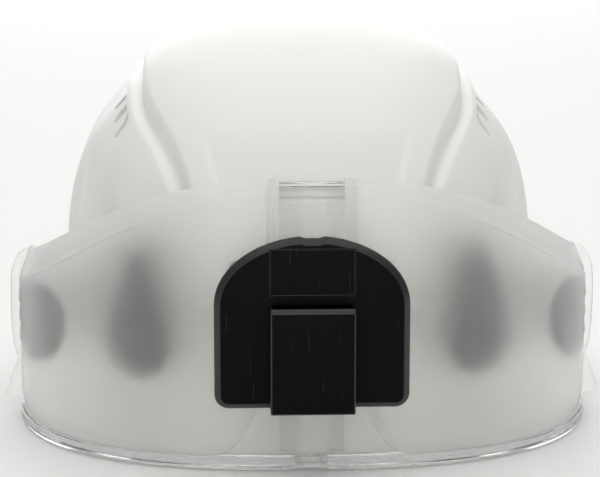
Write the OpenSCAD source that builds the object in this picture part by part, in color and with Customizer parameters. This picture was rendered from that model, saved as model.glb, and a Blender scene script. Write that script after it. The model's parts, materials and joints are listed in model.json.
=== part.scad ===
// Hard hat with a swing-down frosted front shield and a cap-lamp bracket. Units: mm, +Z up, face towards -Y.

/* [Shell] */
// Half width of the shell at its sides
shell_half_w = 111; // [100:1:120]
// Height at which the dome starts to close
dome_start = 64; // [40:1:80]
// Height of the dome above that
dome_rise = 109.5; // [95:0.5:125]
// Roundness of the dome's corner, 2 is an ellipse
dome_power = 2.35; // [2:0.05:3.5]
// Wall of the shell
shell_wall = 3; // [2:0.5:4]
// Centre of the front plan arc
front_c = -12; // [-20:1:0]
// Centre of the rear plan arc
rear_c = 26; // [10:1:40]
// Rise of the crown panel over the dome
panel_raise = 5.5; // [3:0.5:8]
// Half width of the crown panel at its widest
panel_half_w = 72.5; // [60:0.5:80]
// Half width of the crown panel at the front
panel_front_w = 33; // [25:1:60]
// Thickness of the flat brim
brim_t = 3.5; // [2.5:0.5:5]
// How far the brim stands out of the wall
brim_out = 5; // [3:0.5:8]
// Front tip of the peak
peak_y = -134; // [-137:1:-125]
// Length of one vent slot, down the slope
vent_len = 12; // [8:1:20]
// Width of one vent slot, along Y
vent_w = 5.5; // [4:0.5:8]

/* [Shield] */
// Half width of the shield
shield_a = 131; // [125:1:136]
// Depth of the shield from its plan centre
shield_b = 112; // [105:1:118]
// Plan centre of the shield
shield_yc = -40; // [-50:1:-30]
// Wall of the shield
shield_t = 3; // [2:0.5:4]
// Lower edge of the shield panel
shield_z0 = 6; // [5:1:10]
// Top edge at the middle
shield_top = 125.8; // [110:0.2:130]
// Drop of the top edge towards the sides
shield_drop = 47; // [30:1:60]
// Fold line at the middle, where the top of the shield leans back
fold_top = 121.7; // [110:0.1:126]
// Drop of the fold line towards the sides
fold_drop = 56.5; // [40:0.5:65]
// How far the shield leans back above the fold, per mm of height
fold_lean = 0.42; // [0.2:0.02:0.6]
// Height of the notch in the shield's top, in which the lamp carrier hooks
hook_top = 121.6; // [118:0.1:124]
// Half width of the channel
channel_w = 15; // [12:0.5:18]
// Depth of the channel
channel_d = 2.5; // [1.5:0.5:3]

/* [Pivot] */
// Pivot axis, along Y
pivot_y = -10; // [-20:1:0]
// Pivot axis, height
pivot_z = 45; // [35:1:55]
// Pivot boss radius
pivot_r = 5; // [4:0.5:6]
// Running clearance on the pivot boss
pivot_fit = 0.05; // [0.02:0.01:0.1]

/* [Lamp bracket] */
// Half width of the plate
plate_w = 41; // [36:1:46]
// Lower edge of the plate
plate_z0 = 28.6; // [26:0.2:40]
// Start of the arch
plate_z1 = 73; // [65:1:80]
// Rise of the arch
plate_arch = 29.3; // [20:0.1:41]
// Half width of the pocket
pocket_w = 17.7; // [16:0.1:22]
// Top of the pocket
pocket_top = 73.7; // [70:0.1:80]
// Bottom of the pocket
pocket_z0 = 28.5; // [26:0.5:40]
// Width of the slot for the lamp's blade
blade_w = 31; // [28:0.5:33]
// Thickness of the slot
blade_t = 4.6; // [4.2:0.1:5.5]

/* [Suspension] */
// Outer radius of the headband arcs
band_r = 84; // [78:1:88]
// Thickness of the headband
band_t = 1.8; // [1.4:0.1:2.4]
// Height of the crown straps above the rim
strap_top = 146; // [138:1:150]
// Width of the webbing
strap_w = 19; // [15:1:25]
// Height of the ratchet axis
knob_z = 21; // [18:1:26]
// Pitch radius of the pinion
pinion_r = 5; // [4:0.5:6]
// Teeth on the pinion
pinion_teeth = 8; // [6:1:12]
// Knob radius
knob_r = 18; // [15:1:20]

/* [Hidden] */
$fn = 96;
SEG = 12;
pocket_front = -164.9;
clip_rear = 156;
y_shift = -(pocket_front + clip_rear) / 2;
tooth_deg = 360 / pinion_teeth * pinion_r / 87;

// ---------- shared shapes ----------
module placed() { translate([0, y_shift, 0]) children(); }

function dome_pt(o, t) = [(shell_half_w + o) * pow(cos(t), 2 / dome_power),
  dome_start + (dome_rise + o) * pow(sin(t), 2 / dome_power)];
function half_dome(o, z0) = concat([[0, z0], [shell_half_w + o, z0]],
  [for (i = [0 : SEG]) dome_pt(o, 90 * i / SEG)]);
function full_dome(o, z0) = concat([[-(shell_half_w + o), z0], [shell_half_w + o, z0]],
  [for (i = [0 : SEG]) dome_pt(o, 90 * i / SEG)],
  [for (i = [SEG - 1 : -1 : 0]) let (p = dome_pt(o, 90 * i / SEG)) [-p[0], p[1]]]);

module dome(o, z0) {
  translate([0, front_c, 0]) rotate([0, 0, 180]) rotate_extrude(angle = 180) polygon(half_dome(o, z0));
  translate([0, rear_c, 0]) rotate_extrude(angle = 180) polygon(half_dome(o, z0));
  translate([0, rear_c, 0]) rotate([90, 0, 0]) linear_extrude(rear_c - front_c) polygon(full_dome(o, z0));
}

module stadium(r) {
  translate([0, front_c]) circle(r);
  translate([0, rear_c]) circle(r);
  translate([-r, front_c]) square([2 * r, rear_c - front_c]);
}

// a ring sector about one plan arc's centre, between two heights
module sector(yc, r1, r2, z1, z2, a1, a2) {
  translate([0, yc, 0]) rotate([0, 0, a1]) rotate_extrude(angle = a2 - a1)
    translate([r1, z1]) square([r2 - r1, z2 - z1]);
}

module x_cyl(x1, x2, y, z, r) { translate([x1, y, z]) rotate([0, 90, 0]) cylinder(h = x2 - x1, r = r); }
module y_cyl(y1, y2, x, z, r) { translate([x, y2, z]) rotate([90, 0, 0]) cylinder(h = y2 - y1, r = r); }
// a profile in Y and Z, extruded along X
module x_slab(x1, x2) { translate([x1, 0, 0]) rotate([90, 0, 90]) linear_extrude(x2 - x1) children(); }
// a profile in X and Z, extruded along Y
module y_slab(y1, y2) { translate([0, y2, 0]) rotate([90, 0, 0]) linear_extrude(y2 - y1) children(); }

// ---------- shell ----------
module crown_plan(inset) {
  side = [[panel_front_w, -140], [49.7, -107], [61.3, -84], [69, -63], [71.8, -45], [panel_half_w, -20],
    [panel_half_w, 40], [50, 160]];
  linear_extrude(200) polygon(concat([for (p = side) [p[0] - inset, p[1]]],
    [for (i = [len(side) - 1 : -1 : 0]) [inset - side[i][0], side[i][1]]]));
}

key_spots = [[0, front_c + 4, 0], [0, front_c + 4, 180], [0, front_c, -50], [0, front_c, -130],
  [0, rear_c, 40], [0, rear_c, 140]];
module at_keys() { for (k = key_spots) translate([k[0], k[1], 0]) rotate([0, 0, k[2]]) children(); }

module vents() {
  for (s = [-1, 1]) for (k = [0 : 2])
    translate([s * (84.5 + 0.8 * k), -54 + 13 * k, 134.5 + 4.8 * k]) rotate([0, -s * 36, 0])
      translate([-13, -vent_w / 2, -vent_len / 2]) cube([26, vent_w, vent_len]);
}

module shell() {
  color([0.93, 0.93, 0.91]) difference() {
    union() {
      difference() {
        union() {
          dome(0, 0);
          intersection() {
            dome(panel_raise, 0);
            translate([0, 0, 62]) crown_plan(0);
          }
          linear_extrude(brim_t) stadium(shell_half_w + brim_out);
          translate([0, peak_y + 95, 0]) cylinder(h = brim_t, r = 95);
        }
        dome(-shell_wall, -1);
        intersection() {
          dome(panel_raise - shell_wall, -1);
          translate([0, 0, 65]) crown_plan(shell_wall);
        }
      }
      at_keys() translate([106.6, -12, 22]) cube([2.9, 24, 14]);
    }
    vents();
    y_cyl(90, 170, 0, 6, 37);
    x_cyl(-120, 120, pivot_y, pivot_z, 3.2);
    y_cyl(120, 160, 0, 82, 2.2);
  }
}

// ---------- shield pivots ----------
module pivot_base(s) {
  color([0.07, 0.07, 0.08]) scale_side(s) difference() {
    union() {
      x_cyl(111.05, 116.2, pivot_y, pivot_z, 13);
      x_cyl(111.05, 119.4, pivot_y, pivot_z, pivot_r);
      x_slab(112, 116.2) polygon([[pivot_y - 4, 54], [pivot_y - 4, 67], [-38, 67], [-38, 61]]);
      x_slab(112, 118.8) translate([-38, 61.9]) square([7, 5]);
    }
    x_cyl(100, 130, pivot_y, pivot_z, 3.05);
  }
}
// the right side is the left one mirrored
module scale_side(s) { mirror([s < 0 ? 1 : 0, 0, 0]) children(); }

module pivot_washers() {
  color([0.75, 0.76, 0.78]) for (s = [-1, 1]) scale_side(s) difference() {
    x_cyl(119.45, 120.4, pivot_y, pivot_z, 10);
    x_cyl(119, 121, pivot_y, pivot_z, 3.05);
  }
}
module pivot_caps() {
  color([0.07, 0.07, 0.08]) for (s = [-1, 1]) scale_side(s) difference() {
    x_cyl(120.45, 124.6, pivot_y, pivot_z, 11.5);
    x_cyl(120, 126, pivot_y, pivot_z, 3.05);
    x_cyl(122.6, 126, pivot_y, pivot_z, 5.6);
  }
}
module pivot_screws() {
  color([0.55, 0.56, 0.58]) for (s = [-1, 1]) scale_side(s) difference() {
    union() {
      x_cyl(103, 122.7, pivot_y, pivot_z, 3);
      x_cyl(122.65, 124.4, pivot_y, pivot_z, 5.4);
    }
    x_slab(123.6, 125) translate([pivot_y - 4.4, pivot_z - 0.6]) square([8.8, 1.2]);
  }
}
module pivot_nuts() {
  color([0.6, 0.6, 0.62]) for (s = [-1, 1]) scale_side(s) difference() {
    x_slab(103.4, 107.9) translate([pivot_y, pivot_z]) circle(r = 5.6, $fn = 6);
    x_cyl(103, 109, pivot_y, pivot_z, 3.03);
  }
}

// ---------- brow buffers ----------
module brow_buffer(s) {
  color([0.06, 0.06, 0.06]) scale_side(s) difference() {
    intersection() {
      y_slab(-136, -80) polygon([for (a = [0 : 15 : 345]) let (up = sin(a) > 0 ? 42 : 16)
        [74 + (sin(a) > 0 ? 15 * (1 - 0.45 * sin(a)) : 15) * cos(a), 50 + up * sin(a)]]);
      dome(22, 0);
    }
    dome(0.05, -1);
  }
}

// ---------- rear cord clip ----------
module cord_clip() {
  color([0.06, 0.06, 0.06]) difference() {
    union() {
      x_slab(-13, 13) polygon([[138, 64], [156, 64], [156, 82], [153, 82], [153, 67.4], [145.4, 67.4],
        [145.4, 92], [138, 92]]);
    }
    dome(panel_raise + 0.03, -1);
    y_cyl(130, 160, 0, 82, 2.1);
  }
}
module cord_clip_rivet() {
  color([0.7, 0.7, 0.72]) {
    y_cyl(137, 146, 0, 82, 2.05);
    y_cyl(145.45, 146.8, 0, 82, 4);
    y_cyl(136.4, 137.8, 0, 82, 4);
  }
}

// ---------- suspension ----------
module headband() {
  color([0.12, 0.12, 0.13]) {
    sector(front_c, band_r - band_t, band_r, 6, 40, 180, 360);
    for (s = [-1, 1]) scale_side(s) translate([band_r - band_t, front_c, 6])
      cube([band_t, rear_c - front_c, 34]);
    sector(rear_c, band_r - band_t, band_r, 6, 40, 0, 52);
    sector(rear_c, band_r - band_t, band_r, 6, 40, 128, 180);
    sector(rear_c, band_r + 2.4, band_r + 3.6, 6.6, 35.4, 46, 52);
    sector(rear_c, band_r - 0.5, band_r + 3.6, 6.6, 8.6, 46, 52);
    sector(rear_c, band_r - 0.5, band_r + 3.6, 33.4, 35.4, 46, 52);
    sector(rear_c, band_r + 4.4, band_r + 5.6, 6.6, 35.4, 128, 134);
    sector(rear_c, band_r - 0.5, band_r + 5.6, 6.6, 8.6, 128, 134);
    sector(rear_c, band_r - 0.5, band_r + 5.6, 33.4, 35.4, 128, 134);
  }
}
module brow_pad() {
  color([0.16, 0.16, 0.17]) sector(front_c, band_r - band_t - 4.8, band_r - band_t - 0.2, 9, 37, 190, 350);
}
module hanger_keys() {
  color([0.9, 0.9, 0.88]) at_keys() {
    translate([101.4, -10, 20]) cube([5, 20, 19.2]);
    translate([84.15, -5, 36.4]) cube([18, 10, 2.8]);
    translate([84.15, -5, 34]) cube([1.8, 10, 5]);
  }
}
// one webbing strap: an arch in its own plane, through the crossing point at the crown
module strap(ang, x0, half, rise) {
  N = 20;
  function arch(a, h, i) = [x0 + a * sign(cos(180 * i / N)) * pow(abs(cos(180 * i / N)), 0.9),
    39.7 + h * pow(sin(180 * i / N), 0.9)];
  translate([0, front_c + 4, 0]) rotate([0, 0, ang]) y_slab(-strap_w / 2, strap_w / 2)
    polygon(concat([for (i = [0 : N]) arch(half, rise, i)],
      [for (i = [N : -1 : 0]) arch(half - 1.2, rise - 1.2, i)]));
}
module strap_side() { color([0.1, 0.1, 0.11]) strap(0, 0, 101, strap_top - 39.7); }
module strap_diagonal_lower() { color([0.1, 0.1, 0.11]) strap(52, 10.75, 112.8, strap_top - 36.3); }
module strap_diagonal_upper() { color([0.1, 0.1, 0.11]) strap(128, 10.75, 112.8, strap_top - 34.1); }
module crown_pad() {
  color([0.16, 0.16, 0.17]) translate([0, front_c + 4, 0]) rotate_extrude()
    polygon([[0, 136.6], [30, 133], [30, 139.6], [14, 142.4], [0, 144]]);
}

// ---------- ratchet ----------
module ratchet_housing() {
  color([0.1, 0.1, 0.11]) difference() {
    union() {
      sector(rear_c, band_r + 0.1, 90.8, 5, 37, 66, 114);
      y_cyl(110, 119, 0, knob_z, 10);
    }
    sector(rear_c, band_r - 1, 88.4, 8.5, 33.5, 60, 120);
    y_cyl(100, 130, 0, knob_z, 3.06);
  }
}
module ratchet_backplate() {
  color([0.1, 0.1, 0.11]) sector(rear_c, band_r - 1.4, band_r + 0.05, 5, 37, 66, 114);
}
module nape_pad() {
  color([0.16, 0.16, 0.17]) sector(rear_c, band_r - 6.4, band_r - 1.6, 7, 35, 68, 112);
}
// a curved band with a toothed slot: up is 1 for teeth on the slot's upper edge
module nape_band(r1, a1, a2, up) {
  color([0.13, 0.13, 0.14]) {
    difference() {
      sector(rear_c, r1, r1 + 1.6, 9, 33, a1, a2);
      sector(rear_c, r1 - 1, r1 + 3, knob_z - 6.4, knob_z + 6.4, 75.2, 104.8);
    }
    for (j = [-5 : 6]) sector(rear_c, r1 + 0.05, r1 + 1.55, up ? knob_z + 3.9 : knob_z - 6.8,
      up ? knob_z + 6.8 : knob_z - 3.9, 90 + tooth_deg * (j - 0.5) - 0.4, 90 + tooth_deg * (j - 0.5) + 0.4);
  }
}
module ratchet_pinion() {
  color([0.85, 0.85, 0.83]) difference() {
    union() {
      y_cyl(110.2, 114.2, 0, knob_z, 3.45);
      y_cyl(114.1, 126, 0, knob_z, 3);
      for (k = [0 : pinion_teeth - 1]) translate([0, 0, knob_z]) rotate([0, k * 360 / pinion_teeth, 0])
        translate([-0.65, 110.2, 0]) cube([1.3, 4, 5.9]);
    }
    y_cyl(116, 127, 0, knob_z, 1.25);
  }
}
module ratchet_knob() {
  color([0.09, 0.09, 0.1]) difference() {
    y_cyl(119.4, 135, 0, knob_z, knob_r);
    for (k = [0 : 13])
      translate([0, 0, knob_z]) rotate([0, k * 360 / 14, 0]) y_cyl(119, 136, knob_r + 1.2, 0, 2.6);
    y_cyl(119, 126.05, 0, knob_z, 3.02);
    y_cyl(126, 130, 0, knob_z, 1.35);
    y_cyl(129.5, 136, 0, knob_z, 5);
  }
}
module knob_screw() {
  color([0.6, 0.6, 0.62]) {
    y_cyl(117, 129.7, 0, knob_z, 1.2);
    difference() {
      y_cyl(129.55, 131.4, 0, knob_z, 3);
      translate([-2.2, 130.8, knob_z - 0.4]) cube([4.4, 1, 0.8]);
      translate([-0.4, 130.8, knob_z - 2.2]) cube([0.8, 1, 4.4]);
    }
  }
}

// ---------- shield ----------
function top_z(x) = shield_top - shield_drop * pow(min(abs(x) / shield_a, 1), 2.4);
function fold_z(x) = fold_top - fold_drop * pow(min(abs(x) / shield_a, 1), 2.1);
function edge_x(z) = channel_w + 0.47 * max(0, 42 - z) + 7.8 * exp((shield_z0 - z) / 3.9);
// how far the wall stands in from its plan: the lean above the fold, and the rounded foot
function inset(x, z) = fold_lean * max(0, z - fold_z(x)) + 1.7 * pow(max(0, 1 - (z - shield_z0) / 8), 2);
// a point on the shield: nominal half width x, height z, depth t into the wall
function sh_at(x, z, t) = let (q = min(abs(x) / shield_a, 1), w = pow(1 - pow(q, 2.5), 0.4),
  d = t + inset(x, z), floor = abs(x) <= edge_x(z) + 0.01 ? channel_d : 0)
  [sign(x) * q * (shield_a - d), shield_yc - (shield_b - d) * w + floor, z];
// the height of row v at x: row 0.8 is the fold
function row_z(x, v) = v <= 0.8 ? shield_z0 + v / 0.8 * (fold_z(x) - shield_z0)
  : fold_z(x) + (v - 0.8) / 0.2 * (top_z(x) - fold_z(x));
function sh_pt(x, v, t) = sh_at(x, row_z(x, v), t);
ROWS = [0, 0.015, 0.03, 0.05, 0.09, 0.14, 0.2, 0.27, 0.4, 0.55, 0.7, 0.8, 0.87, 0.94, 1];
SIDE = 13;
// nominal half widths of one row, from the middle outwards
function xs(v) = let (e = edge_x(row_z(0, v)), c = pow((e + 2.2) / shield_a, 1.25), t0 = acos(c))
  concat([e / 2, e, e + 2.2], [for (k = [1 : SIDE]) shield_a * pow(cos(t0 + (5.45 - t0) * k / SIDE), 0.8)]);
function row_x(v) = let (h = xs(v), n = len(h)) concat([for (i = [n - 1 : -1 : 0]) -h[i]], [0], h);

module shield_panel() {
  nc = len(row_x(0));
  nr = len(ROWS);
  outer = [for (v = ROWS) for (x = row_x(v)) sh_pt(x, v, 0)];
  inner = [for (v = ROWS) for (x = row_x(v)) sh_pt(x, v, shield_t)];
  m = nc * nr;
  grid = [for (r = [0 : nr - 2]) for (c = [0 : nc - 2]) let (a = r * nc + c, b = a + 1, d = a + nc, e = d + 1)
    each [[a, d, e], [a, e, b], [m + a, m + e, m + d], [m + a, m + b, m + e]]];
  low = [for (c = [0 : nc - 2]) each [[c, c + 1, m + c + 1], [c, m + c + 1, m + c]]];
  high = [for (c = [0 : nc - 2]) let (a = (nr - 1) * nc + c)
    each [[a, m + a + 1, a + 1], [a, m + a, m + a + 1]]];
  left = [for (r = [0 : nr - 2]) let (a = r * nc, d = a + nc) each [[a, m + d, d], [a, m + a, m + d]]];
  right = [for (r = [0 : nr - 2]) let (a = r * nc + nc - 1, d = a + nc)
    each [[a, d, m + d], [a, m + d, m + a]]];
  polyhedron(concat(outer, inner), concat(grid, low, high, left, right));
}
rivet_spots = [[-62.5, 39], [-62.5, 48], [-62.5, 57]];
stud_spots = [[-30, 44], [30, 44], [-30, 86], [30, 86]];
module shield() {
  color([0.82, 0.82, 0.81, 0.6]) difference() {
    union() {
      shield_panel();
      // finger tabs and end flanges
      for (s = [-1, 1]) scale_side(s) y_slab(-61, -57.5) {
        polygon([[128.6, 7.6], [134.5, 7.6], [136.6, 8.4], [137.5, 10.2], [137.2, 11.8], [132, 25.5],
          [128.6, 25.5]]);
        polygon([[128.6, 25], [131.2, 26.5], [133.3, 32], [134.3, 45], [134.2, 62], [133.4, 69], [131, 74.5],
          [127.5, 78], [125.3, 78], [124.4, 76], [128.6, 65]]);
      }
    }
    for (s = [-1, 1]) scale_side(s) for (p = rivet_spots) {
      x_cyl(115, 135, p[0], p[1], 2.05);
      x_cyl(side_x(p[0], 0) - 1.25, 135, p[0], p[1], 3.45);
    }
    for (p = stud_spots) y_cyl(-160, -140, p[0], p[1], 2.3);
    // the carrier hooks into this notch at the top of the channel
    translate([-14.6, -165, hook_top]) cube([29.2, 40, 10]);
  }
}
// plan outline of the rim, grown by o
function rim_plan(o) = [for (a = [6 : 6 : 174]) [(shield_a + o) * sign(cos(a)) * pow(abs(cos(a)), 0.8),
  shield_yc - (shield_b + o) * pow(sin(a), 0.8)]];
module rim_tier(z1, z2, o1, o2) {
  translate([0, 0, z1]) linear_extrude(z2 - z1) difference() {
    polygon(concat(rim_plan(o1), [[-100, -50], [100, -50]]));
    polygon(concat(rim_plan(o2), [[-100, -40], [100, -40]]));
    translate([-140, -62]) square([280, 30]);
  }
}
module shield_rim() {
  color([0.86, 0.87, 0.87, 0.5]) difference() {
    union() {
      rim_tier(4.2, 5.95, 0.2, -4.4);
      rim_tier(2.4, 4.21, -0.8, -4.4);
      rim_tier(1, 2.41, 0.4, -4.4);
    }
    translate([-8, -156, 0]) cube([16, 6.6, 7]);
  }
}

// ---------- lamp bracket ----------
function floor_y(z) = sh_at(0, z, 0)[1];
function back_y(z) = sh_at(0, z, shield_t)[1];
function strap_y(z) = floor_y(max(z, 60));
strap_z = [9, 60, 90, 100, 106, 110, 114, 118, hook_top];
hook_z = [hook_top, 118.8, 115.8, 111.8];
module lamp_strap() {
  color([0.9, 0.91, 0.92, 0.35]) difference() {
    union() {
      x_slab(-13.5, 13.5) polygon(concat([for (z = strap_z) [strap_y(z) - 2.2, z]],
        [[floor_y(hook_top) - 1, hook_top + 2.1], [back_y(hook_top) + 2, hook_top + 2.1]],
        [for (z = hook_z) [back_y(z) + 2.8, z]],
        [for (i = [3 : -1 : 0]) [back_y(hook_z[i]) + 0.8, hook_z[i]]],
        [[back_y(hook_top) + 0.6, hook_top + 0.4], [floor_y(hook_top) - 0.2, hook_top + 0.4]],
        [for (i = [8 : -1 : 0]) [strap_y(strap_z[i]) - 0.2, strap_z[i]]]));
      x_slab(-7, 7) translate([floor_y(60) - 2.2, 1.5]) square([2, 8]);
      for (k = [-6 : 6]) x_slab(k * 2.1 - 0.35, k * 2.1 + 0.35)
        translate([floor_y(60) - 2.9, hook_top - 10.2]) square([1, 5]);
      // the rolled lip over the ribs
      for (z = [hook_top - 4.3, hook_top - 1.2]) x_slab(-13.5, 13.5)
        translate([floor_y(z) - 2, z]) circle(r = 1.3, $fn = 16);
      for (k = [-1 : 1]) x_slab(k * 4 - 0.5, k * 4 + 0.5) translate([floor_y(60) - 2.9, 2]) square([1, 5]);
    }
  }
}
function plate_out(i) = concat(
  [for (a = [0 : 7.5 : 180]) [(plate_w - i) * cos(a), plate_z1 + (plate_arch - i) * sin(a)]],
  [for (a = [180 : 15 : 270]) [-(plate_w - 6) + (6 - i) * cos(a), plate_z0 + 6 + (6 - i) * sin(a)]],
  [for (a = [270 : 15 : 360]) [plate_w - 6 + (6 - i) * cos(a), plate_z0 + 6 + (6 - i) * sin(a)]]);
module lamp_plate() {
  color([0.05, 0.05, 0.05]) difference() {
    union() {
      y_slab(-154.6, -152.4) polygon(plate_out(0));
      y_slab(-156.2, -154.5) polygon(plate_out(2.6));
      for (p = stud_spots) y_cyl(-152.5, -143.6, p[0], p[1], 2.2);
      y_slab(-156.6, -156.1) difference() {
        translate([-18, 77.2]) square([36, 20.4]);
        translate([-17.2, 78]) square([34.4, 18.8]);
      }
    }
    y_slab(-158, -155.2) polygon([[-4, 104], [4, 104], [3, 101.6], [-3, 101.6]]);
  }
}
module lamp_pocket() {
  color([0.03, 0.03, 0.03]) difference() {
    translate([-pocket_w, pocket_front, pocket_z0]) cube([2 * pocket_w, 8.65, pocket_top - pocket_z0]);
    x_slab(-pocket_w - 1, pocket_w + 1) polygon([[pocket_front - 1, pocket_top - 2.8],
      [pocket_front - 1, pocket_top + 1], [pocket_front + 2.4, pocket_top + 1]]);
    translate([-blade_w / 2, -161.7, pocket_z0 + 3]) cube([blade_w, blade_t, 60]);
  }
}
module push_nuts() {
  color([0.7, 0.71, 0.73]) for (p = stud_spots) difference() {
    y_cyl(-147.2, -146.2, p[0], p[1], 5);
    y_cyl(-148, -145, p[0], p[1], 2.24);
  }
}

// ---------- shield arms ----------
// half width of the shield's side at a given y, at depth t into the wall
function side_x(y, t) = (shield_a - t) * pow(1 - pow(min(1, (shield_yc - y) / (shield_b - t)), 2.5), 0.4);
pad_y = [-57.8, -62, -68, -74, -80, -86, -92, -98, -104, -110];
module shield_arm(s) {
  color([0.07, 0.07, 0.08]) scale_side(s) difference() {
    union() {
      x_slab(116.5, 119.1)
        polygon([[pivot_y, 32], [pivot_y, 58], [-40, 61], [-67, 63], [-67, 33], [-40, 33]]);
      x_cyl(116.5, 119.1, pivot_y, pivot_z, 13);
      x_slab(116.5, 125.6) polygon([[-67, 33], [-67, 63], [-60, 63], [-57.8, 60], [-57.8, 36], [-60, 33]]);
      // the mounting pad follows the inside of the shield's side
      intersection() {
        translate([0, 0, 28]) linear_extrude(50) polygon(concat([for (y = pad_y) [side_x(y, 3.15), y]],
          [for (i = [len(pad_y) - 1 : -1 : 0]) [side_x(pad_y[i], 5.6), pad_y[i]]]));
        x_slab(100, 135) polygon([[-57.8, 36], [-57.8, 61], [-62, 64.5], [-74, 66.5], [-92, 70.5], [-103, 70],
          [-108, 66], [-110, 60], [-110, 50], [-107, 43], [-100, 37], [-90, 33], [-64, 31]]);
      }
    }
    x_cyl(110, 125, pivot_y, pivot_z, pivot_r + pivot_fit);
    for (p = rivet_spots) x_cyl(110, 135, p[0], p[1], 2.05);
  }
}
// flush heads outside, clinched tails inside
module arm_rivets() {
  color([0.66, 0.67, 0.69]) for (s = [-1, 1]) scale_side(s) for (p = rivet_spots) {
    x_cyl(115.4, side_x(p[0], 0) - 0.6, p[0], p[1], 2);
    x_cyl(115.2, 116.45, p[0], p[1], 3.6);
    x_cyl(side_x(p[0], 0) - 1.2, side_x(p[0], 0) + 0.1, p[0], p[1], 3.4);
  }
}

placed() shell();
placed() pivot_base(1);  // pivot_base_left
placed() pivot_base(-1);  // pivot_base_right
placed() pivot_washers();
placed() pivot_caps();
placed() pivot_screws();
placed() pivot_nuts();
placed() brow_buffer(1);  // brow_buffer_left
placed() brow_buffer(-1);  // brow_buffer_right
placed() cord_clip();
placed() cord_clip_rivet();
placed() headband();
placed() brow_pad();
placed() hanger_keys();
placed() strap_side();
placed() strap_diagonal_lower();
placed() strap_diagonal_upper();
placed() crown_pad();
placed() ratchet_housing();
placed() ratchet_backplate();
placed() nape_pad();
placed() nape_band(84.4, 28, 107.5, 0);  // nape_band_left
placed() nape_band(86.4, 72.5, 152, 1);  // nape_band_right
placed() ratchet_knob();
placed() ratchet_pinion();
placed() knob_screw();
placed() shield();
placed() shield_rim();
placed() lamp_strap();
placed() lamp_plate();
placed() lamp_pocket();
placed() push_nuts();
placed() shield_arm(1);  // shield_arm_left
placed() shield_arm(-1);  // shield_arm_right
placed() arm_rivets();
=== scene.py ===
import json
import math

import bpy
import numpy as np
from bpy.props import FloatProperty, PointerProperty, StringProperty
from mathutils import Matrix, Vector


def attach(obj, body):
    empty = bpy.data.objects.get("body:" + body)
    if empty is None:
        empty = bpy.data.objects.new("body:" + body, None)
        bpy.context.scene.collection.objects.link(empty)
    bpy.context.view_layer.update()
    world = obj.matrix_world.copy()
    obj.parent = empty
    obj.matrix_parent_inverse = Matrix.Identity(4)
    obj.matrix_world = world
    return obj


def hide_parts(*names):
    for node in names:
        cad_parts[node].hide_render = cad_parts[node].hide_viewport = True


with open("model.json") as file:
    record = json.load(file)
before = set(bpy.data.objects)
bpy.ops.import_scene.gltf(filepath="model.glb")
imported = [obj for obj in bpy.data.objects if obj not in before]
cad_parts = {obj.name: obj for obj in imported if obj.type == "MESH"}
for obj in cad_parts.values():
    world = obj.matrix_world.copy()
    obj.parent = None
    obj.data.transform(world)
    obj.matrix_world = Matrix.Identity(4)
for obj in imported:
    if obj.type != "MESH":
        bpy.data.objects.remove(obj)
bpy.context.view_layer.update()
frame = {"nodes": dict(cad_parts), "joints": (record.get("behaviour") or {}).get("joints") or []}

bl_info = {
    "name": "Hard Hat with Front Shield",
    "version": (1, 0, 0),
    "blender": (4, 5, 0),
    "location": "View3D > Sidebar > Hard Hat",
    "description": "Builds the looks of a hard hat with a frosted front shield and a lamp bracket",
    "category": "Add Mesh",
}

NODES = frame["nodes"]
JOINT = {j["name"]: j for j in frame["joints"]}
# The CAD is centred on its own length; this is how far the shell's plan moved back for that.
SHIFT = JOINT["shield_swing"]["pos_m"][1] + 0.010
# the shell's plan is two arcs, one round each of these centres along Y
FRONT_C = -0.012
REAR_C = 0.026
# a point inside the hat that sees the whole inside of the dome
INNER = np.array((0, 0.007, 0.030))
# the fold's row on the shield, and the exponent of the shield's plan
FOLD_ROW = 0.8
PLAN_POWER = 2.5
# the channel's wall: how wide it is, and the share of the flat grid it takes up on each side
WALL_RUN = 0.0022
WALL_FROM = 0.16
WALL_TO = 0.24
# the shield's finishes, in the order of its material slots: frosted polycarbonate, white painted highlight on
# its edges, and grey painted shade on the channel's wall
FROSTED, PAINTED_HIGHLIGHT, PAINTED_SHADE = 0, 1, 2
HELMET = "helmet"
SHIELD = "shield_assembly"
KNOB = "knob"


# ---------------------------------------------------------------- settings


def length(name, text, value):
    return FloatProperty(name=name, description=text, default=value, unit="LENGTH", precision=4)


def colour(name, text, value):
    return StringProperty(name=name, description=text, default=value)


class HatSizes(bpy.types.PropertyGroup):
    """Sizes of the shell and the shield that a maker would change."""

    shell_half_width: length("Shell half width", "From the middle to the outside of the wall", 0.111)
    dome_start: length("Dome start", "Height at which the wall begins to close", 0.064)
    dome_rise: length("Dome rise", "Height of the dome over its start", 0.1095)
    dome_power: FloatProperty(name="Dome roundness", description="2 is an ellipse, more is squarer",
                              default=2.35)
    shell_wall: length("Shell wall", "Thickness of the moulded wall", 0.003)
    panel_raise: length("Panel rise", "How far the crown panel stands over the dome", 0.0055)
    brim_out: length("Brim", "How far the brim stands out of the wall", 0.005)
    brim_thick: length("Brim thickness", "Thickness of the flat brim", 0.0035)
    shield_half_width: length("Shield half width", "Half of the shield's outside width", 0.131)
    shield_depth: length("Shield depth", "From the plan centre to the front", 0.112)
    shield_centre: length("Shield plan centre", "Plan centre of the shield along Y", -0.040)
    shield_wall: length("Shield wall", "Thickness of the frosted wall", 0.003)
    shield_foot: length("Shield foot", "Height of the panel's lower edge", 0.006)
    shield_top: length("Shield top", "Height of the top edge at the middle", 0.1258)
    shield_drop: length("Shield drop", "Fall of the top edge towards the sides", 0.047)
    fold_top: length("Fold", "Height of the fold line at the middle", 0.1217)
    fold_drop: length("Fold drop", "Fall of the fold line towards the sides", 0.0565)
    fold_lean: FloatProperty(name="Lean over the fold", description="Inward, per unit of height",
                             default=0.42)
    channel_half: length("Channel half width", "Half width of the sunk channel", 0.015)
    channel_depth: length("Channel depth", "How deep the channel is sunk", 0.0025)
    strap_width: length("Webbing width", "Width of the crown straps", 0.019)


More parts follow.
